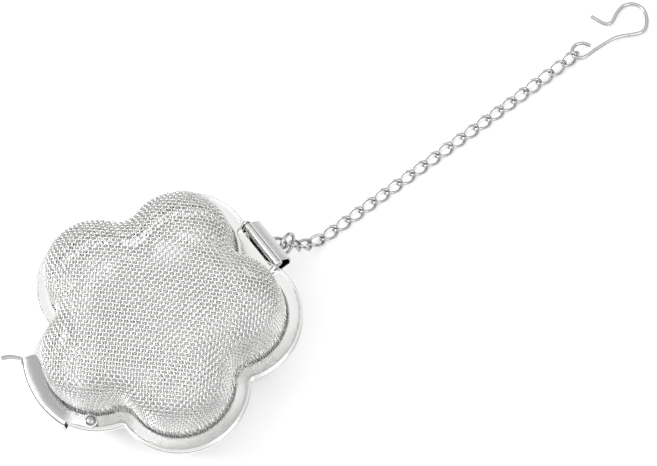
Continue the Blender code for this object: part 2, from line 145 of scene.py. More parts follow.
# Latch lever: an arc of channel about its own centre, with a flange, a sloping web and a thumb tab.
# Round the rivet the strip is painted in the rim sheet's colour as a painted highlight up to the first
# distance, and it fades to the lever's painted-shade grey by the second.
LEVER_CENTRE = Vector((-10.3, 1.0))
LEVER_RADIUS = 24.6
LEVER_SHEET = 0.45
LEVER_CLEAR = 1.45
LEVER_TIP = math.radians(150.8)
LEVER_HEEL = math.radians(200.4)
HOOK_FLANGE = 2.2
RIVET_RADIUS = 0.7
RIVET_EYE = 1.65
PAINTED_HIGHLIGHT_REACH = (3.4, 7.2)
WEB_SLOPE = 0.9
FLANGE_EDGE = (
    (-30.0, 12.2), (-28.9, 11.8), (-28.4, 10.9), (-28.9, 8.2), (-29.9, 4.9), (-30.6, 2.2), (-30.8, -0.4),
    (-30.3, -3.6), (-28.8, -7.0), (-27.3, -9.1),
)
FLANGE_HEEL = (-30.4, -9.5)
TAB_ROUTE = ((-32.2, 13.9), (-33.1, 14.9), (-34.2, 15.7), (-35.3, 16.2))
TAB_WIDTH = 2.1
TAB_DROP = 1.15

# Chain and hook. The last links roll over step by step, so that the hook's eye can pass through the last one.
LOOP_STEPS = 56
LINK_LENGTH = 4.87
LINK_TWIST = math.radians(45)
END_ROLL = tuple(math.radians(angle) for angle in (9, 18, 27, 36, 45))
RING_ROLL = math.radians(65)
HOOK_EYE = 0.775
HOOK_ROUTE = (
    (5.0, -0.25), (4.1, 1.35), (2.5, 2.15), (0.9, 1.75), (0.0, 0.35), (0.45, -1.15), (2.2, -1.95),
    (6.6, -1.95), (11.6, -2.45), (17.2, -5.0), (20.0, -3.7), (21.6, -0.6), (21.0, 2.2), (18.7, 3.6),
    (16.0, 3.1), (13.4, 1.8), (11.6, 2.5), (10.3, 6.2),
)

# Steel: the shade of the grain's dark side, and the spread of the noise and of the roughness across it.
GRAIN_SHADE = 0.86
GRAIN_SPAN = (0.3, 0.7)
ROUGH_SPREAD = (0.75, 1.35)

# Stage, in metres: where the view aims, the floor, and each light's side and place.
AIM_HEIGHT = 0.01765
AIM_SHIFT = (0.03986, 0.02076)
FLOOR_SIZE = 2.5
FLOOR_GAP = 0.00002
FLOOR_GLOW = 0.24
LIGHT_TARGET = (0.03, 0.0, 0.01)
KEY_LIGHT = (0.45, (-0.45, 0.4, 0.62))
FILL_LIGHT = (0.4, (0.15, -0.55, 0.6))

# Surroundings that the steel reflects: the sky's heights and shades, and a darker card with a soft edge.
SKY_HEIGHTS = (0.12, 0.64)
SKY_SHADES = (0.03, 1.0)
CARD_DIRECTION = (0.0, 0.44, 0.898)
CARD_EDGE = (0.965, 0.995)
CARD_SHADE = 0.94


# ---------------------------------------------------------------- sizes and colours a user would change


class InfuserSizes(bpy.types.PropertyGroup):
    """Wire, weave and chain sizes."""

    warp_pitch: bpy.props.FloatProperty(
        name="Warp Pitch", description="Spacing of the warp wires",
        default=0.75 * MM, min=0.0004, unit="LENGTH")
    weft_pitch: bpy.props.FloatProperty(
        name="Weft Pitch", description="Spacing of the weft wires",
        default=0.93 * MM, min=0.0004, unit="LENGTH")
    weave_wire: bpy.props.FloatProperty(
        name="Weave Wire", description="Diameter of the woven wire",
        default=0.31 * MM, min=0.0001, unit="LENGTH")
    warp_angle: bpy.props.FloatProperty(
        name="Warp Angle", description="Direction of the warp wires",
        default=math.radians(48), subtype="ANGLE")
    weft_angle: bpy.props.FloatProperty(
        name="Weft Angle", description="Direction of the weft wires",
        default=math.radians(135), subtype="ANGLE")
    weave_sides: bpy.props.IntProperty(
        name="Weave Sides", description="Flat sides round a woven wire", default=6, min=3, max=8)
    brim_pitch: bpy.props.FloatProperty(
        name="Brim Pitch", description="Spacing of the wires where the cloth enters the rim",
        default=0.74 * MM,
        min=0.0004, unit="LENGTH")
    chain_wire: bpy.props.FloatProperty(
        name="Chain Wire", description="Diameter of the link wire",
        default=0.74 * MM, min=0.0003, unit="LENGTH")
    link_width: bpy.props.FloatProperty(
        name="Link Width", description="Width of a link between its wire centres", default=2.84 * MM,
        min=0.001, unit="LENGTH")
    ring_wire: bpy.props.FloatProperty(
        name="Ring Wire", description="Diameter of the jump ring's wire",
        default=0.9 * MM, min=0.0003, unit="LENGTH")
    ring_width: bpy.props.FloatProperty(
        name="Ring Width", description="Width of the jump ring between its wire centres", default=5.3 * MM,
        min=0.001, unit="LENGTH")
    hook_wire: bpy.props.FloatProperty(
        name="Hook Wire", description="Diameter of the hook's wire",
        default=0.95 * MM, min=0.0003, unit="LENGTH")


class InfuserFinish(bpy.types.PropertyGroup):
    """Colours of the finishes, as sRGB hex values."""

    # The rim sheet's colour is also the painted highlight round the lever's rivet.
    sheet: bpy.props.StringProperty(
        name="Rim Sheet", description="Polished sheet of the rims, hinge leaf and lever web",
        default="#fbfbfa")
    # The lever colour is painted shade: greyer than the rim sheet, standing in for the darker reflections on
    # the lever's flange.
    lever: bpy.props.StringProperty(
        name="Lever Sheet", description="Darker pressed sheet of the latch lever", default="#b8b8b7")
    hinge: bpy.props.StringProperty(
        name="Hinge Sheet", description="Bent stainless sheet of the bracket, barrel and ear",
        default="#e0e0df")
    weave: bpy.props.StringProperty(
        name="Woven Wire", description="Stainless wire cloth of the domes", default="#f8f8f7")
    wire: bpy.props.StringProperty(
        name="Drawn Wire", description="Bright drawn wire of the chain and the hook", default="#cfcfce")
    floor: bpy.props.StringProperty(
        name="Floor", description="Plain floor under the infuser", default="#f6f6f6")


class InfuserStudio(bpy.types.PropertyGroup):
    """Camera and light."""

    azimuth: bpy.props.FloatProperty(
        name="Azimuth", description="Heading of the camera round the ball", default=math.radians(-20.77),
        subtype="ANGLE")
    elevation: bpy.props.FloatProperty(
        name="Elevation", description="Height angle of the camera",
        default=math.radians(65.16), subtype="ANGLE")
    roll: bpy.props.FloatProperty(
        name="Roll", description="Turn of the view about its own axis",
        default=math.radians(16.74), subtype="ANGLE")
    distance: bpy.props.FloatProperty(
        name="Distance", description="Camera to the upper rim", default=0.7, unit="LENGTH")
    view_width: bpy.props.FloatProperty(
        name="View Width", description="Width seen at that distance", default=0.15572, unit="LENGTH")
    key_power: bpy.props.FloatProperty(
        name="Key Power", description="Strength of the large soft light", default=4.0, unit="POWER")
    fill_power: bpy.props.FloatProperty(
        name="Fill Power", description="Strength of the side light", default=1.0, unit="POWER")


# ---------------------------------------------------------------- materials


def linear(hex_colour):
    """An sRGB hex colour as linear RGBA."""
    channels = [int(hex_colour[start:start + 2], 16) / 255 for start in (1, 3, 5)]
    shades = [value / 12.92 if value <= 0.04045 else ((value + 0.055) / 1.055) ** 2.4 for value in channels]
    return (*shades, 1.0)


def add_node(tree, kind, attributes=None, inputs=None):
    """Add a node, set its attributes, and set or link its inputs by name or number."""
    node = tree.nodes.new(kind)
    for name, value in (attributes or {}).items():
        setattr(node, name, value)
    for name, value in (inputs or {}).items():
        if isinstance(value, bpy.types.NodeSocket):
            tree.links.new(value, node.inputs[name])
        else:
            node.inputs[name].default_value = value
    return node


def steel(name, colour, roughness, wave, wave_depth, grain, grain_depth):
    """Bare stainless steel: broad waves left by forming, and a fine grain left by rolling or drawing.

    The waves and the grain, and the depth of each, are in millimetres.
    """
    found = bpy.data.materials.get(name)
    if found:
        return found
    material = bpy.data.materials.new(name)
    material.use_nodes = True
    tree = material.node_tree
    shader = tree.nodes["Principled BSDF"]
    place = add_node(tree, "ShaderNodeTexCoord").outputs["Object"]
    waves = add_node(tree, "ShaderNodeTexNoise", None, {
        "Vector": place, "Scale": 1 / (wave * MM), "Detail": 1.0})
    fine = add_node(tree, "ShaderNodeTexNoise", None, {
        "Vector": place, "Scale": 1 / (grain * MM), "Detail": 3.0, "Roughness": 0.6})
    darker = tuple(value * GRAIN_SHADE for value in linear(colour)[:3]) + (1.0,)
    tone = add_node(tree, "ShaderNodeMix", {"data_type": "RGBA"},
                    {"Factor": fine.outputs[0], 6: darker, 7: linear(colour)})
    rough = add_node(tree, "ShaderNodeMapRange", None, {
        "Value": fine.outputs[0], "From Min": GRAIN_SPAN[0], "From Max": GRAIN_SPAN[1],
        "To Min": roughness * ROUGH_SPREAD[0], "To Max": roughness * ROUGH_SPREAD[1]})
    broad = add_node(tree, "ShaderNodeBump", None,
                     {"Height": waves.outputs[0], "Distance": wave_depth * MM, "Strength": 1.0})
    bump = add_node(tree, "ShaderNodeBump", None, {
        "Height": fine.outputs[0], "Distance": grain_depth * MM, "Strength": 0.5, "Normal": broad.outputs[0]})
    tree.links.new(tone.outputs[2], shader.inputs["Base Color"])
    tree.links.new(rough.outputs[0], shader.inputs["Roughness"])
    tree.links.new(bump.outputs[0], shader.inputs["Normal"])
    shader.inputs["Metallic"].default_value = 1.0
    return material


def finish_colours():
    """The finish colours held by the scene."""
    return bpy.context.scene.infuser_finish


def polished_sheet():
    """Stainless sheet, pressed and tumbled: nearly white, its soft reflections broken by shallow waves."""
    return steel("stainless_sheet_polished", finish_colours().sheet, roughness=0.2, wave=5.0,
                 wave_depth=0.03, grain=0.25, grain_depth=0.0008)


def hinge_sheet():
    """Stainless sheet bent into the bracket and barrel: a little duller than the rims."""
    return steel("stainless_sheet_bent", finish_colours().hinge, roughness=0.2, wave=5.0,
                 wave_depth=0.03, grain=0.25, grain_depth=0.0008)


def lever_sheet():
    """Pressed strip, satin, painted greyer than the rims as painted shade, with a painted highlight of the rim
    sheet's colour round the rivet's eye.
    """
    found = bpy.data.materials.get("stainless_strip_rolled")
    if found:
        return found
    colours = finish_colours()
    material = steel("stainless_strip_rolled", colours.lever, roughness=0.2, wave=6.0, wave_depth=0.10,
                     grain=0.2, grain_depth=0.003)
    tree = material.node_tree
    base = tree.nodes["Principled BSDF"].inputs["Base Color"]
    # The lever's grey with its grain. The grey is painted shade.
    grain_and_painted_shade = base.links[0].from_socket
    place = add_node(tree, "ShaderNodeTexCoord").outputs["Object"]
    reach = add_node(tree, "ShaderNodeVectorMath", {"operation": "DISTANCE"},
                     {0: place, 1: joint_place("latch_pivot") * MM}).outputs["Value"]
    # Painted highlight: the rim sheet's colour round the rivet's eye, fading out into the lever's grey.
    painted_highlight_fade = add_node(tree, "ShaderNodeMapRange", {"interpolation_type": "SMOOTHSTEP"}, {
        "Value": reach, "From Min": PAINTED_HIGHLIGHT_REACH[0] * MM, "From Max": PAINTED_HIGHLIGHT_REACH[1] * MM}).outputs[0]
    tone = add_node(tree, "ShaderNodeMix", {"data_type": "RGBA"},
                    {"Factor": painted_highlight_fade, 6: linear(colours.sheet), 7: grain_and_painted_shade})
    tree.links.new(tone.outputs[2], base)
    return material


def woven_wire():
    """Fine drawn wire of the wire cloth: bright along each knuckle, dark in the openings between."""
    return steel("stainless_wire_cloth", finish_colours().weave, roughness=0.26, wave=3.0,
                 wave_depth=0.0, grain=0.3, grain_depth=0.0)


def drawn_wire():
    """Bright drawn wire of the chain, ring, hook, pin and rivet: clear reflections, faint drawing marks."""
    return steel("stainless_wire_bright", finish_colours().wire, roughness=0.16, wave=1.6,
                 wave_depth=0.02, grain=0.15, grain_depth=0.002)


# ---------------------------------------------------------------- mesh helpers


def add_piece(name, mesh, material, body, replaced):
    """Put a finished mesh into the scene as a piece that rides on a body."""
    piece = bpy.data.objects.new(name, mesh)
    bpy.context.scene.collection.objects.link(piece)
    mesh.materials.clear()
    mesh.materials.append(material)
    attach(piece, body)
    if replaced:
        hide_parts(*replaced)
    return piece


def mesh_from(builder, name, smooth_angle=35):
    """A mesh in metres from a bmesh in millimetres, with its faces outwards."""
    bmesh.ops.recalc_face_normals(builder, faces=builder.faces)
    bmesh.ops.scale(builder, vec=(MM, MM, MM), verts=builder.verts)
    mesh = bpy.data.meshes.new(name)
    builder.to_mesh(mesh)
    builder.free()
    mesh.shade_smooth()
    mesh.set_sharp_from_angle(angle=math.radians(smooth_angle))
    return mesh


def skin(builder, rings, closed_section):
    """Quads between rings of equal length. A closed section joins its ends, and others are capped."""
    grid = [[builder.verts.new(point) for point in ring] for ring in rings]
    pairs = list(zip(grid, grid[1:]))
    if closed_section:
        pairs.append((grid[-1], grid[0]))
    for lower, upper in pairs:
        for index in range(len(lower)):
            following = (index + 1) % len(lower)
            builder.faces.new((lower[index], lower[following], upper[following], upper[index]))
    if not closed_section:
        builder.faces.new(grid[0])
        builder.faces.new(grid[-1])


def polar(centre, radius, angle):
    """A point at a radius and an angle round a centre."""
    return Vector((centre[0] + radius * math.cos(angle), centre[1] + radius * math.sin(angle)))


def arc(centre, radius, degrees):
    """Points at a radius round a centre, one for each angle in degrees."""
    return [polar(centre, radius, math.radians(angle)) for angle in degrees]


def full_turn(count):
    """Evenly spaced angles of one full turn."""
    return np.linspace(0, 2 * math.pi, count, endpoint=False)


def with_mirror(side):
    """A side's points, and then their mirror images in reverse order."""
    return list(side) + [(x, -y) for x, y in reversed(side)]


def spline_point(before, start, end, after, t):
    """The point a share t of the way from start to end on a Catmull-Rom curve."""
    return 0.5 * (2 * start + (end - before) * t + (2 * before - 5 * start + 4 * end - after) * t ** 2
                  + (3 * start - before - 3 * end + after) * t ** 3)


def flat_plate(outlines, thickness, edge):
    """A bmesh of a flat plate with rounded edges, from an outer outline and any holes, centred on z = 0."""
    curve = bpy.data.curves.new("plate", "CURVE")
    curve.dimensions = "2D"
    curve.fill_mode = "BOTH"
    curve.extrude = thickness / 2 - edge
    curve.bevel_depth = edge
    curve.bevel_resolution = 2
    curve.offset = -edge
    for outline in outlines:
        spline = curve.splines.new("POLY")
        spline.points.add(len(outline) - 1)
        for slot, point in zip(spline.points, outline):
            slot.co = (point[0], point[1], 0.0, 1.0)
        spline.use_cyclic_u = True
    holder = bpy.data.objects.new("plate", curve)
    bpy.context.scene.collection.objects.link(holder)
    mesh = bpy.data.meshes.new_from_object(holder.evaluated_get(bpy.context.evaluated_depsgraph_get()))
    bpy.data.objects.remove(holder, do_unlink=True)
    bpy.data.curves.remove(curve)
    builder = bmesh.new()
    builder.from_mesh(mesh)
    bpy.data.meshes.remove(mesh)
    bmesh.ops.remove_doubles(builder, verts=builder.verts, dist=0.0005)
    return builder


def absorb(builder, other, matrix=None):
    """Add another bmesh's shells to this one, placed by a matrix."""
    if matrix:
        bmesh.ops.transform(other, matrix=matrix, verts=other.verts)
    holder = bpy.data.meshes.new("holder")
    other.to_mesh(holder)
    other.free()
    builder.from_mesh(holder)
    bpy.data.meshes.remove(holder)


def rounded_strip(path, thickness):
    """The closed outline of a strip that follows a path, with rounded ends."""
    left = []
    right = []
    half = thickness / 2
    for index, point in enumerate(path):
        along = (path[min(index + 1, len(path) - 1)] - path[max(index - 1, 0)]).normalized()
        across = Vector((-along.y, along.x)) * half
        left.append(point + across)
        right.append(point - across)
    start = (path[0] - path[1]).normalized() * half
    end = (path[-1] - path[-2]).normalized() * half
    return [path[0] + start * 0.7] + left + [path[-1] + end * 0.7] + right[::-1]


def smooth_route(route, steps):
    """Points on a Catmull-Rom curve through a route."""
    padded = [route[0] * 2 - route[1]] + list(route) + [route[-1] * 2 - route[-2]]
    points = []
    for before, start, end, after in zip(padded, padded[1:], padded[2:], padded[3:]):
        points += [spline_point(before, start, end, after, step / steps) for step in range(steps)]
    return points + [route[-1]]


def joint_place(name):
    """The place of a named joint, in millimetres."""
    found = [joint for joint in frame["joints"] if joint["name"] == name]
    if not found:
        raise RuntimeError(f"the frame has no joint named {name}")
    return Vector(found[0]["pos_m"]) / MM


# ---------------------------------------------------------------- wire sweep, a Geometry Nodes tree


def wire_tree():
    """A tree that sweeps a round wire along the edges of a mesh, lifted by its point attribute 'lift'."""
    found = bpy.data.node_groups.get("Round Wire Sweep")
    if found:
        return found
    tree = bpy.data.node_groups.new("Round Wire Sweep", "GeometryNodeTree")
    sockets = tree.interface
    sockets.new_socket("Geometry", in_out="INPUT", socket_type="NodeSocketGeometry")
    sockets.new_socket("Wire Diameter", in_out="INPUT", socket_type="NodeSocketFloat")
    sockets.new_socket("Crimp", in_out="INPUT", socket_type="NodeSocketFloat")
    sockets.new_socket("Sides", in_out="INPUT", socket_type="NodeSocketInt")
    sockets.new_socket("Material", in_out="INPUT", socket_type="NodeSocketMaterial")
    sockets.new_socket("Geometry", in_out="OUTPUT", socket_type="NodeSocketGeometry")
    given = add_node(tree, "NodeGroupInput").outputs
    lift = add_node(tree, "GeometryNodeInputNamedAttribute", {"data_type": "FLOAT_VECTOR"}, {"Name": "lift"})
    offset = add_node(tree, "ShaderNodeVectorMath", {"operation": "SCALE"},
                      {0: lift.outputs[0], "Scale": given["Crimp"]})
    crimped = add_node(tree, "GeometryNodeSetPosition", None,
                       {"Geometry": given["Geometry"], "Offset": offset.outputs[0]})
    path = add_node(tree, "GeometryNodeMeshToCurve", None, {"Mesh": crimped.outputs[0]})
    radius = add_node(tree, "ShaderNodeMath", {"operation": "MULTIPLY"}, {0: given["Wire Diameter"], 1: 0.5})
    ring = add_node(tree, "GeometryNodeCurvePrimitiveCircle", {"mode": "RADIUS"},
                    {"Resolution": given["Sides"], "Radius": radius.outputs[0]})
    wire = add_node(tree, "GeometryNodeCurveToMesh", None,
                    {"Curve": path.outputs[0], "Profile Curve": ring.outputs[0], "Fill Caps": True})
    smooth = add_node(tree, "GeometryNodeSetShadeSmooth", None,
                      {"Geometry": wire.outputs[0], "Shade Smooth": True})
    real = add_node(tree, "GeometryNodeRealizeInstances", None, {"Geometry": smooth.outputs[0]})
    painted = add_node(tree, "GeometryNodeSetMaterial", None,
                       {"Geometry": real.outputs[0], "Material": given["Material"]})
    add_node(tree, "NodeGroupOutput", None, {"Geometry": painted.outputs[0]})
    return tree


def sweep(name, points, edges, lift, diameter, crimp, sides, material):
    """A plain mesh of round wire along edges.

    Points are in millimetres, and diameter and crimp in metres. A lift is a direction, or None for no crimp.
    """
    path = bpy.data.meshes.new(name + "_path")
    path.from_pydata([tuple(point) for point in np.asarray(points, float) * MM], edges, [])
    if lift is None:
        lift = np.zeros((len(points), 3))
    attribute = path.attributes.new("lift", "FLOAT_VECTOR", "POINT")
    attribute.data.foreach_set("vector", np.asarray(lift, np.float32).ravel())
    holder = bpy.data.objects.new(name + "_path", path)
    bpy.context.scene.collection.objects.link(holder)
    modifier = holder.modifiers.new("wire", "NODES")
    tree = wire_tree()
    modifier.node_group = tree
    values = {"Wire Diameter": diameter, "Crimp": crimp, "Sides": sides, "Material": material}
    for item in tree.interface.items_tree:
        if item.in_out == "INPUT" and item.name in values:
            modifier[item.identifier] = values[item.name]
    holder.update_tag()
    evaluated = holder.evaluated_get(bpy.context.evaluated_depsgraph_get())
    mesh = bpy.data.meshes.new_from_object(evaluated)
    mesh.name = name
    bpy.data.objects.remove(holder, do_unlink=True)
    bpy.data.meshes.remove(path)
    if not mesh.polygons:
        raise RuntimeError(f"the wire sweep made nothing for {name}")
    return mesh


def chain_edges(count, closed):
    """Edges that join points in order."""
    edges = [(index, index + 1) for index in range(count - 1)]
    if closed:
        edges.append((count - 1, 0))
    return edges


# ---------------------------------------------------------------- the blossom's outline and the domes


def fillet_distance():
    """Distance from the middle of the ball to the middle of a notch's fillet."""
    along = PETAL_CENTRE * math.cos(HALF_PETAL)
    across = PETAL_CENTRE * math.sin(HALF_PETAL)
    return along + math.sqrt((PETAL_ARC + NOTCH_FILLET) ** 2 - across ** 2)


def blossom(inset, petal_steps, notch_steps):
    """The outline, moved inwards by an inset: petal arcs joined by notch arcs."""
    points = []
    for petal in range(PETALS):
        axis = HALF_PETAL * (2 * petal + 1)
        centre = polar((0, 0), PETAL_CENTRE, axis)
        notch = polar((0, 0), fillet_distance(), axis + HALF_PETAL)
        half_sweep = (notch - centre).angle(Vector((math.cos(axis), math.sin(axis))))
        for step in range(petal_steps):
            angle = axis + half_sweep * (2 * step / petal_steps - 1)
            points.append(polar(centre, PETAL_ARC - inset, angle))
        start = axis + half_sweep + math.pi
        sweep_angle = -2 * (half_sweep - HALF_PETAL)
        for step in range(notch_steps):
            points.append(polar(notch, NOTCH_FILLET + inset, start + sweep_angle * step / notch_steps))
    return points


def outline_radius(angle, inset):
    """Distance from the middle to the outline, moved in by an inset, at each angle."""
    off_axis = np.abs(np.mod(angle, 2 * HALF_PETAL) - HALF_PETAL)
    far = fillet_distance()
    arc = PETAL_ARC - inset
    hollow = NOTCH_FILLET + inset
    centre = np.array([PETAL_CENTRE, 0.0])
    notch = far * np.array([math.cos(HALF_PETAL), math.sin(HALF_PETAL)])
    touch = centre + (notch - centre) / np.linalg.norm(notch - centre) * arc
    limit = math.atan2(touch[1], touch[0])
    on_petal = np.minimum(off_axis, limit)
    petal = PETAL_CENTRE * np.cos(on_petal) + np.sqrt(
        np.maximum(arc ** 2 - (PETAL_CENTRE * np.sin(on_petal)) ** 2, 0))
    to_notch = HALF_PETAL - np.maximum(off_axis, limit)
    valley = far * np.cos(to_notch) - np.sqrt(np.maximum(hollow ** 2 - (far * np.sin(to_notch)) ** 2, 0))
    return np.where(off_axis < limit, petal, valley)


def dome_profiles(angle):
    """Radius and rise from the crown to the brim, one smooth profile for each angle."""
    turns = full_turn(360)
    knots = []
    for inset, scale, rounding, rise in reversed(DOME_LEVELS):
        reach = outline_radius(angle, inset)
        mean = outline_radius(turns, inset).mean()
        radius = (reach + (mean - reach) * rounding) * scale
        knots.append(np.stack([radius, np.full_like(angle, rise)], axis=-1))
    mirrored = knots[1] * np.array([-1.0, 1.0])
    padded = [mirrored] + knots + [knots[-1] * 2 - knots[-2]]
    samples = []
    for before, start, end, after in zip(padded, padded[1:], padded[2:], padded[3:]):
        samples += [spline_point(before, start, end, after, step / LEVEL_STEPS)
                    for step in range(LEVEL_STEPS)]
    samples.append(knots[-1])
    return np.stack(samples, axis=1)


def drape(flat):
    """Lay points of a flat sheet over the dome by distance from the crown, and say which points it reaches."""
    angle = np.arctan2(flat[:, 1], flat[:, 0])
    distance = np.hypot(flat[:, 0], flat[:, 1])
    profile = dome_profiles(angle)
    steps = np.linalg.norm(np.diff(profile, axis=1), axis=2)
    travelled = np.concatenate([np.zeros((len(flat), 1)), np.cumsum(steps, axis=1)], axis=1)
    reached = distance < travelled[:, -1]
    index = np.clip((travelled < distance[:, None]).sum(axis=1) - 1, 0, steps.shape[1] - 1)
    rows = np.arange(len(flat))
    share = (distance - travelled[rows, index]) / np.maximum(steps[rows, index], 1e-9)
    share = np.clip(share, 0, 1)[:, None]
    place = profile[rows, index] * (1 - share) + profile[rows, index + 1] * share
    placed = np.stack([place[:, 0] * np.cos(angle), place[:, 0] * np.sin(angle), place[:, 1]], axis=1)
    return placed, reached


def wander(flat):
    """The slight drift of wires in pressed wire cloth."""
    u, v = flat[:, 0], flat[:, 1]
    drift_u = 0.20 * np.sin(0.17 * v + 0.9) + 0.05 * np.sin(0.41 * v - 0.2 * u + 2.0)
    drift_v = 0.18 * np.sin(0.16 * u + 2.1) + 0.05 * np.sin(0.37 * u + 0.3 * v)
    return flat + np.stack([drift_u, drift_v], axis=1)


def weave_family(angle, pitch, other_angle, other_pitch, parity):
    """Wires of one direction on the upper dome: points, edges and the lift over or under at each crossing."""
    along = np.array([math.cos(angle), math.sin(angle)])
    across = np.array([-along[1], along[0]])
    other_across = np.array([-math.sin(other_angle), math.cos(other_angle)])
    slant = along @ other_across
    lines = int(SHEET_REACH / pitch)
    crossings = int(SHEET_REACH / other_pitch)
    rank, crossing = np.meshgrid(
        np.arange(-lines, lines + 1), np.arange(-crossings, crossings + 1), indexing="ij")
    where = (crossing * other_pitch - rank * pitch * (across @ other_across)) / slant
    side = np.where((rank + crossing) % 2 == parity, 1.0, -1.0)
    shifts = np.array([-1, 1]) * abs(KNUCKLE_SHARE * (other_pitch / slant))
    t = (where[:, :, None] + shifts[None, None, :]).reshape(len(rank), -1)
    sides = np.repeat(side[:, :, None], 2, axis=2).reshape(len(rank), -1)
    sort = np.argsort(t, axis=1)
    t = np.take_along_axis(t, sort, axis=1)
    sides = np.take_along_axis(sides, sort, axis=1).ravel()
    base = rank[:, 0][:, None, None] * pitch * across[None, None, :]
    flat = (base + t[:, :, None] * along[None, None, :]).reshape(-1, 2)
    near = np.hypot(flat[:, 0], flat[:, 1]) < SHEET_REACH
    numbers = np.arange(len(flat))
    joined = (numbers % t.shape[1]) != t.shape[1] - 1
    flat = wander(flat)
    place, reached = drape(flat)
    reached &= near & (place[:, 2] > WEAVE_FOOT)
    east, _ = drape(flat + np.array([NORMAL_STEP, 0.0]))
    north, _ = drape(flat + np.array([0.0, NORMAL_STEP]))
    normal = np.cross(east - place, north - place)
    normal /= np.maximum(np.linalg.norm(normal, axis=1), 1e-12)[:, None]
    new_number = np.cumsum(reached) - 1
    kept = joined & reached & np.roll(reached, -1)
    kept[-1] = False
    edges = np.stack([new_number[kept], new_number[kept] + 1], axis=1)
    used = np.zeros(reached.sum(), bool)
    used[edges.ravel()] = True
    renumber = np.cumsum(used) - 1
    place, normal, sides = place[reached][used], normal[reached][used], sides[reached][used]
    return place - normal * WEAVE_SINK, renumber[edges], normal * sides[:, None]


# ---------------------------------------------------------------- pieces


def brim_bars(pitch):
    """The wires that run down the wall and into the rim's slot, square to the outline."""
    outline = np.array([tuple(point) for point in blossom(0.0, *FINE_STEPS)])
    steps = np.linalg.norm(np.roll(outline, -1, axis=0) - outline, axis=1)
    travelled = np.concatenate([[0.0], np.cumsum(steps)])
    count = int(travelled[-1] / pitch)
    spots = np.interp(np.arange(count) * travelled[-1] / count, travelled, np.arange(len(travelled)))
    numbers = np.round(spots).astype(int) % len(outline)
    lines = [np.array([tuple(point) for point in blossom(inset, *FINE_STEPS)])[numbers]
             for inset, _ in BRIM_BAR]
    points = []
    edges = []
    for bar in range(count):
        lean = sum(size * math.sin(bar * rate) for size, rate in BRIM_LEAN)
        for line, (_, rise) in zip(lines, BRIM_BAR):
            side = np.array([-line[bar][1], line[bar][0]]) / np.linalg.norm(line[bar])
            spot = line[bar] + side * lean * (rise - BRIM_LEAN_FROM)
            points.append((spot[0], spot[1], rise))
        first = bar * len(BRIM_BAR)
        edges += [(first + step, first + step + 1) for step in range(len(BRIM_BAR) - 1)]
    return np.array(points), edges


def on_half(points, side):
    """Points of the upper half in their place, or mirrored into the lower half where side is -1."""
    return points * np.array([1, 1, side]) + np.array([0, 0, PARTING_HEIGHT])


class BuildWeave(bpy.types.Operator):
    """Weave both domes, one piece for each direction of wire"""

    bl_idname = "infuser.build_weave"
    bl_label = "Build Woven Domes"

    def execute(self, context):
        sizes = context.scene.infuser_sizes
        warp = (sizes.warp_angle, sizes.warp_pitch / MM)
        weft = (sizes.weft_angle, sizes.weft_pitch / MM)
        for half, side in (("upper", 1), ("lower", -1)):
            for family, own, other, parity in (("warp", warp, weft, 0), ("weft", weft, warp, 1)):
                points, edges, lift = weave_family(*own, *other, parity)
                lift = lift * np.array([1, 1, side])
                name = f"{half}_{family}"
                mesh = sweep(name, on_half(points, side), edges.tolist(), lift, sizes.weave_wire,
                             sizes.weave_wire * CRIMP_SHARE, sizes.weave_sides, woven_wire())
                replaced = (f"{half}_mesh",) if family == "warp" else ()
                add_piece(name, mesh, woven_wire(), f"{half}_half", replaced)
            points, edges = brim_bars(sizes.brim_pitch / MM)
            name = f"{half}_brim_wires"
            mesh = sweep(name, on_half(points, side), edges, None, sizes.weave_wire * BRIM_WIRE_SHARE, 0.0,
                         sizes.weave_sides, woven_wire())
            add_piece(name, mesh, woven_wire(), f"{half}_half", ())
        return {"FINISHED"}


class BuildRims(bpy.types.Operator):
    """Fold the two rims round the edges of the wire cloth"""

    bl_idname = "infuser.build_rims"
    bl_label = "Build Rims"

    def execute(self, context):
        for half, side in (("upper", 1), ("lower", -1)):
            builder = bmesh.new()
            rings = [[(x, y, PARTING_HEIGHT + side * rise) for x, y in blossom(inset, *RIM_STEPS)]
                     for inset, rise in RIM_SECTION]
            skin(builder, rings, True)
            mesh = mesh_from(builder, f"{half}_rim_band")
            add_piece(f"{half}_rim_band", mesh, polished_sheet(), f"{half}_half", (f"{half}_rim",))
        return {"FINISHED"}


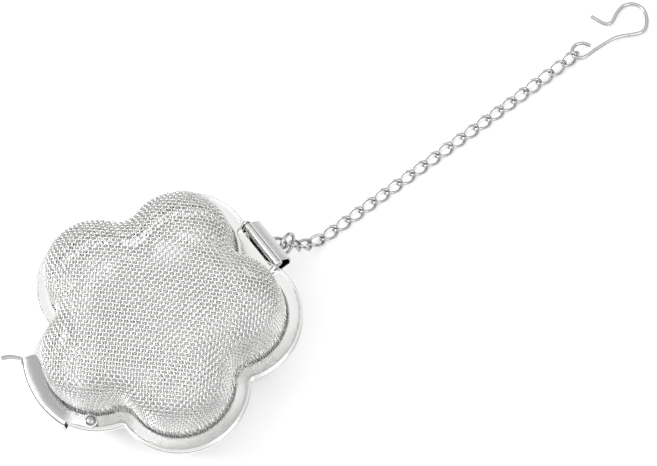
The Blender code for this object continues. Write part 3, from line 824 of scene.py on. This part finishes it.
class BuildHinge(bpy.types.Operator):
    """Roll the hinge bracket with its chain ear, and make the leaf, its lugs and the pin"""

    bl_idname = "infuser.build_hinge"
    bl_label = "Build Hinge"

    def execute(self, context):
        pin = joint_place("lid_hinge")
        centre = Vector((pin.x, pin.z))
        tongue = PARTING_HEIGHT - TONGUE_DROP
        roll = arc(centre, BARREL_RADIUS - HINGE_SHEET / 2, BARREL_ROLL)
        bend = smooth_route([roll[-1], Vector((PLATE_EDGE_X - 0.45, PARTING_HEIGHT + 1.2)),
                             Vector((PLATE_EDGE_X - 0.07, PARTING_HEIGHT + 0.5)),
                             Vector((PLATE_EDGE_X - 0.12, tongue + 0.4)),
                             Vector((PLATE_EDGE_X - 0.6, tongue))], 5)
        section = rounded_strip(roll[:-1] + bend + [Vector((FOOT_X, tongue))], HINGE_SHEET)
        builder = bmesh.new()
        rings = [[(x, station * BARREL_HALF_LENGTH, z) for x, z in section] for station in BARREL_STATIONS]
        skin(builder, rings, False)
        bmesh.ops.triangulate(builder, faces=[face for face in builder.faces if len(face.verts) > 4])
        root = Vector((PLATE_EDGE_X - 0.35, tongue))
        lobe = arc((EAR_REACH, 0), EAR_RADIUS, range(-100, 101, 5))
        hole = arc((EAR_REACH, 0), EAR_HOLE, range(0, -360, -15))
        tilt = Matrix.Translation((root.x, 0, root.y)) @ Matrix.Rotation(EAR_SLOPE, 4, "Y")
        absorb(builder, flat_plate([with_mirror(EAR_SHOULDER) + lobe, hole], HINGE_SHEET + 0.04, 0.08), tilt)
        mesh = mesh_from(builder, "hinge_barrel_and_ear", 30)
        add_piece("hinge_barrel_and_ear", mesh, hinge_sheet(), "lower_half", ("hinge_bracket",))

        low = PARTING_HEIGHT + LEAF_RISE
        builder = flat_plate([with_mirror(LEAF_SIDE)], LEAF_SHEET, 0.1)
        bmesh.ops.translate(builder, vec=(0, 0, low + LEAF_SHEET / 2), verts=builder.verts)
        eye = arc(centre, LUG_RADIUS, range(-120, 121, 10))
        lug = [Vector((27.4, low + 0.05)), Vector((28.2, low + 0.05))] + eye + [Vector((27.4, low + 0.5))]
        bore = arc(centre, PIN_RADIUS + PIN_PLAY, range(0, -360, -20))
        for centre_y in LUG_CENTRES_Y:
            stand = Matrix(((1, 0, 0, 0), (0, 0, -1, centre_y), (0, 1, 0, 0), (0, 0, 0, 1)))
            absorb(builder, flat_plate([lug, bore], LUG_HALF * 2, 0.07), stand)
        mesh = mesh_from(builder, "hinge_leaf_and_lugs", 30)
        add_piece("hinge_leaf_and_lugs", mesh, polished_sheet(), "upper_half", ("hinge_leaf",))

        start, end = PIN_ENDS_Y
        profile = ((start, 0.32), (start + 0.08, 0.45), (start + 0.2, PIN_RADIUS),
                   (end - 0.2, PIN_RADIUS), (end - 0.08, 0.45), (end, 0.32))
        builder = bmesh.new()
        rings = [[(pin.x + radius * math.cos(turn), y, pin.z + radius * math.sin(turn))
                  for turn in full_turn(24)] for y, radius in profile]
        skin(builder, rings, False)
        add_piece("hinge_rod", mesh_from(builder, "hinge_rod"), drawn_wire(), "lower_half", ("hinge_pin",))
        return {"FINISHED"}


class BuildLatch(bpy.types.Operator):
    """Press the latch lever with its thumb tab, and set its rivet"""

    bl_idname = "infuser.build_latch"
    bl_label = "Build Latch"

    def execute(self, context):
        rivet = joint_place("latch_pivot")
        spot = (rivet.x, rivet.y)
        low = PARTING_HEIGHT + LEVER_CLEAR
        high = low + LEVER_SHEET
        hook_low = PARTING_HEIGHT - LEVER_CLEAR - LEVER_SHEET
        bow = np.linspace(LEVER_HEEL, LEVER_TIP, 49)
        inner = smooth_route([Vector(point) for point in FLANGE_EDGE], 5)
        eye = arc(spot, RIVET_EYE, range(62, -151, -6))
        outer = [polar(LEVER_CENTRE, LEVER_RADIUS - WEB_SLOPE - 0.2, angle) for angle in bow]
        outline = inner[:-1] + eye + [Vector(FLANGE_HEEL)] + outer
        hole = arc(spot, RIVET_RADIUS + 0.1, range(0, -360, -18))
        builder = flat_plate([outline, hole], LEVER_SHEET, 0.1)
        bmesh.ops.translate(builder, vec=(0, 0, low + LEVER_SHEET / 2), verts=builder.verts)

        # The web's section: up the outside, over the crest, down the inside and round the lower hook flange.
        outside = LEVER_RADIUS
        inside = LEVER_RADIUS - LEVER_SHEET
        crest = outside - WEB_SLOPE
        section = [(outside, hook_low + 0.2), (outside, high - 1.05), (outside - 0.07, high - 0.75),
                   (outside - 0.22, high - 0.5), (outside - 0.44, high - 0.28), (crest, high - 0.02),
                   (crest - 0.1, high), (crest - 0.3, high),
                   (crest - 0.3, low), (inside - 0.3, low - 0.1), (inside, low - 0.35),
                   (inside, hook_low + LEVER_SHEET), (outside - HOOK_FLANGE, hook_low + LEVER_SHEET),
                   (outside - HOOK_FLANGE, hook_low), (outside - 0.2, hook_low),
                   (outside - 0.06, hook_low + 0.06)]
        web = bmesh.new()
        rings = [[(*polar(LEVER_CENTRE, radius, angle), height) for radius, height in section]
                 for angle in bow]
        skin(web, rings, False)
        add_piece("latch_web", mesh_from(web, "latch_web", 25), polished_sheet(), "latch", ("latch_lever",))

        middle = LEVER_RADIUS - LEVER_SHEET / 2
        knots = [polar(LEVER_CENTRE, middle, LEVER_TIP + 0.06), polar(LEVER_CENTRE, middle, LEVER_TIP)]
        knots += [Vector(point) for point in TAB_ROUTE]
        tab = rounded_strip(smooth_route(knots, 6), LEVER_SHEET - 0.08)
        absorb(builder, flat_plate([tab], TAB_WIDTH, 0.06), Matrix.Translation((0, 0, high - TAB_DROP)))
        mesh = mesh_from(builder, "latch_strip", 30)
        # The strip takes the grey lever sheet, which is painted shade, while the web of the same pressing
        # takes the bright rim sheet.
        add_piece("latch_strip", mesh, lever_sheet(), "latch", ("latch_lever",))

        head = high + 0.12
        profile = ((RIVET_RADIUS, PARTING_HEIGHT + 0.2), (RIVET_RADIUS, head), (1.35, head),
                   (1.35, head + 0.06), (1.1, head + 0.28), (0.9, head + 0.48), (0.78, head + 0.58),
                   (0.62, head + 0.63), (0.25, head + 0.65))
        builder = bmesh.new()
        rings = [[(*polar(spot, radius, turn), height) for turn in full_turn(32)]
                 for radius, height in profile]
        skin(builder, rings, False)
        add_piece("latch_rivet_head", mesh_from(builder, "latch_rivet_head", 50), drawn_wire(), "upper_half",
                  ("latch_rivet",))
        return {"FINISHED"}


def placed_loop(points, start, end, roll):
    """Points of a loop that lies along X, rolled, tipped and moved so that it runs from start to end."""
    reach = end - start
    drop = math.atan2(-reach.z, reach.x)
    turn = Matrix.Rotation(drop, 3, "Y") @ Matrix.Rotation(roll, 3, "X")
    return [turn @ Vector(point) + (start + end) / 2 for point in points]


class BuildChain(bpy.types.Operator):
    """Bend the jump ring and the twisted links"""

    bl_idname = "infuser.build_chain"
    bl_label = "Build Chain"

    def execute(self, context):
        sizes = context.scene.infuser_sizes
        links = sorted(name for name in frame["nodes"] if name.startswith("chain_link_"))
        pivots = [joint_place("ring_swing")]
        pivots += [joint_place(name.replace("chain_", "") + "_swing") for name in links]
        pivots.append(joint_place("hook_swing"))
        turns = full_turn(LOOP_STEPS)

        radius = sizes.ring_width / MM / 2
        flat = [Vector((radius * math.cos(turn), radius * math.sin(turn), 0)) for turn in turns]
        lean = (pivots[1] - pivots[0]).normalized()
        loop = placed_loop(flat, pivots[0], pivots[0] + lean * radius * 2, RING_ROLL)
        mesh = sweep("bent_ring", loop, chain_edges(len(loop), True), None, sizes.ring_wire, 0.0, 14,
                     drawn_wire())
        add_piece("bent_ring", mesh, drawn_wire(), "jump_ring", ("jump_ring",))

        half_length = LINK_LENGTH / 2
        half_width = sizes.link_width / MM / 2
        twisted = []
        for turn in turns:
            across = half_width * math.sin(turn)
            twist = LINK_TWIST * math.cos(turn)
            twisted.append((half_length * math.cos(turn), across * math.cos(twist), across * math.sin(twist)))
        rolls = [0.0] * (len(links) - len(END_ROLL)) + list(END_ROLL)
        for name, start, end, roll in zip(links, pivots[1:], pivots[2:], rolls):
            loop = placed_loop(twisted, start, end, roll)
            title = name.replace("chain_link", "twisted_link")
            mesh = sweep(title, loop, chain_edges(len(loop), True), None, sizes.chain_wire, 0.0, 12,
                         drawn_wire())
            add_piece(title, mesh, drawn_wire(), name, (name,))
        return {"FINISHED"}


class BuildHook(bpy.types.Operator):
    """Bend the cup hook with its closed eye"""

    bl_idname = "infuser.build_hook"
    bl_label = "Build Hook"

    def execute(self, context):
        sizes = context.scene.infuser_sizes
        pivot = joint_place("hook_swing")
        eye_start = pivot.x - HOOK_EYE
        length = max(x for x, y in HOOK_ROUTE)
        fall = sizes.hook_wire / MM / 2 - pivot.z
        route = [Vector((eye_start + x, y, pivot.z + fall * x / length)) for x, y in HOOK_ROUTE]
        points = smooth_route(route, 9)
        mesh = sweep("bent_hook", points, chain_edges(len(points), False), None, sizes.hook_wire, 0.0, 16,
                     drawn_wire())
        add_piece("bent_hook", mesh, drawn_wire(), "cup_hook", ("cup_hook",))
        return {"FINISHED"}


# ---------------------------------------------------------------- stage


def floor_material(colour):
    """Matt white paper that looks lit from below, so that shadows stay faint, yet lights nothing."""
    material = bpy.data.materials.new("white_paper")
    material.use_nodes = True
    tree = material.node_tree
    shader = tree.nodes["Principled BSDF"]
    shader.inputs["Base Color"].default_value = linear(colour)
    shader.inputs["Roughness"].default_value = 0.9
    shader.inputs["Specular IOR Level"].default_value = 0.0
    shader.inputs["Emission Color"].default_value = (1.0, 1.0, 1.0, 1.0)
    seen = add_node(tree, "ShaderNodeLightPath").outputs["Is Camera Ray"]
    glow = add_node(tree, "ShaderNodeMath", {"operation": "MULTIPLY"}, {0: seen, 1: FLOOR_GLOW}).outputs[0]
    tree.links.new(glow, shader.inputs["Emission Strength"])
    return material


def soft_light(name, power, size, place):
    """A square area light that faces the infuser."""
    light = bpy.data.lights.new(name, "AREA")
    light.energy = power
    light.size = size
    lamp = bpy.data.objects.new(name, light)
    bpy.context.scene.collection.objects.link(lamp)
    lamp.location = place
    lamp.rotation_euler = (Vector(LIGHT_TARGET) - Vector(place)).to_track_quat("-Z", "Y").to_euler()


class BuildStage(bpy.types.Operator):
    """Lay the floor and set the camera and the soft lights"""

    bl_idname = "infuser.build_stage"
    bl_label = "Build Stage"

    def execute(self, context):
        scene = context.scene
        studio = scene.infuser_studio
        builder = bmesh.new()
        bmesh.ops.create_grid(builder, x_segments=1, y_segments=1, size=FLOOR_SIZE)
        mesh = bpy.data.meshes.new("floor")
        builder.to_mesh(mesh)
        builder.free()
        mesh.transform(Matrix.Translation((0, 0, CAD_BOX[0][2] - FLOOR_GAP)))
        floor = bpy.data.objects.new("floor", mesh)
        scene.collection.objects.link(floor)
        mesh.materials.append(floor_material(scene.infuser_finish.floor))

        heading = studio.azimuth - math.pi / 2
        back = Vector((math.cos(studio.elevation) * math.cos(heading),
                       math.cos(studio.elevation) * math.sin(heading), math.sin(studio.elevation)))
        level = Vector((-math.sin(heading), math.cos(heading), 0))
        upright = back.cross(level)
        right = level * math.cos(studio.roll) - upright * math.sin(studio.roll)
        up = level * math.sin(studio.roll) + upright * math.cos(studio.roll)
        aim = Vector((0, 0, AIM_HEIGHT)) + right * AIM_SHIFT[0] + up * AIM_SHIFT[1]
        place = aim + back * studio.distance
        data = bpy.data.cameras.new("camera")
        data.lens = data.sensor_width * studio.distance / studio.view_width
        data.clip_start = 0.01
        data.clip_end = 20.0
        camera = bpy.data.objects.new("camera", data)
        scene.collection.objects.link(camera)
        turn = Matrix((right, up, back)).transposed().to_4x4()
        camera.matrix_world = Matrix.Translation(place) @ turn
        scene.camera = camera

        soft_light("key_light", studio.key_power, *KEY_LIGHT)
        soft_light("fill_light", studio.fill_power, *FILL_LIGHT)
        world = bpy.data.worlds.new("studio_air")
        scene.world = world
        world.use_nodes = True
        tree = world.node_tree
        direction = add_node(tree, "ShaderNodeTexCoord").outputs["Generated"]
        height = add_node(tree, "ShaderNodeSeparateXYZ", None, {0: direction}).outputs[2]
        sky = add_node(tree, "ShaderNodeMapRange", {"interpolation_type": "SMOOTHSTEP"}, {
            "Value": height, "From Min": SKY_HEIGHTS[0], "From Max": SKY_HEIGHTS[1],
            "To Min": SKY_SHADES[0], "To Max": SKY_SHADES[1]}).outputs[0]
        card = add_node(tree, "ShaderNodeVectorMath", {"operation": "DOT_PRODUCT"}, {
            0: direction, 1: CARD_DIRECTION}).outputs["Value"]
        card_shade = add_node(tree, "ShaderNodeMapRange", {"interpolation_type": "SMOOTHSTEP"}, {
            "Value": card, "From Min": CARD_EDGE[0], "From Max": CARD_EDGE[1],
            "To Min": 1.0, "To Max": CARD_SHADE}).outputs[0]
        air = add_node(tree, "ShaderNodeMath", {"operation": "MULTIPLY"}, {0: sky, 1: card_shade}).outputs[0]
        tree.links.new(air, tree.nodes["Background"].inputs["Color"])
        tree.nodes["Background"].inputs["Strength"].default_value = 1.0
        scene.view_settings.view_transform = "Standard"
        return {"FINISHED"}


# ---------------------------------------------------------------- panel and registration

BUILDERS = (BuildStage, BuildWeave, BuildRims, BuildHinge, BuildLatch, BuildChain, BuildHook)


class InfuserPanel(bpy.types.Panel):
    """Sizes, finishes and the pieces of the infuser"""

    bl_idname = "VIEW3D_PT_infuser"
    bl_label = "Tea Infuser"
    bl_space_type = "VIEW_3D"
    bl_region_type = "UI"
    bl_category = "Infuser"

    def draw(self, context):
        layout = self.layout
        scene = context.scene
        for group in (scene.infuser_sizes, scene.infuser_finish, scene.infuser_studio):
            box = layout.box()
            for name in group.bl_rna.properties.keys():
                if name not in ("rna_type", "name"):
                    box.prop(group, name)
        for builder in BUILDERS:
            layout.operator(builder.bl_idname)


GROUPS = (InfuserSizes, InfuserFinish, InfuserStudio)
CLASSES = GROUPS + BUILDERS + (InfuserPanel,)


def register():
    for item in CLASSES:
        bpy.utils.register_class(item)
    bpy.types.Scene.infuser_sizes = bpy.props.PointerProperty(type=InfuserSizes)
    bpy.types.Scene.infuser_finish = bpy.props.PointerProperty(type=InfuserFinish)
    bpy.types.Scene.infuser_studio = bpy.props.PointerProperty(type=InfuserStudio)


def unregister():
    del bpy.types.Scene.infuser_studio
    del bpy.types.Scene.infuser_finish
    del bpy.types.Scene.infuser_sizes
    for item in reversed(CLASSES):
        bpy.utils.unregister_class(item)


def main():
    register()
    bpy.ops.infuser.build_stage()
    bpy.ops.infuser.build_weave()
    bpy.ops.infuser.build_rims()
    bpy.ops.infuser.build_hinge()
    bpy.ops.infuser.build_latch()
    bpy.ops.infuser.build_chain()
    bpy.ops.infuser.build_hook()


if __name__ == "__main__":
    main()
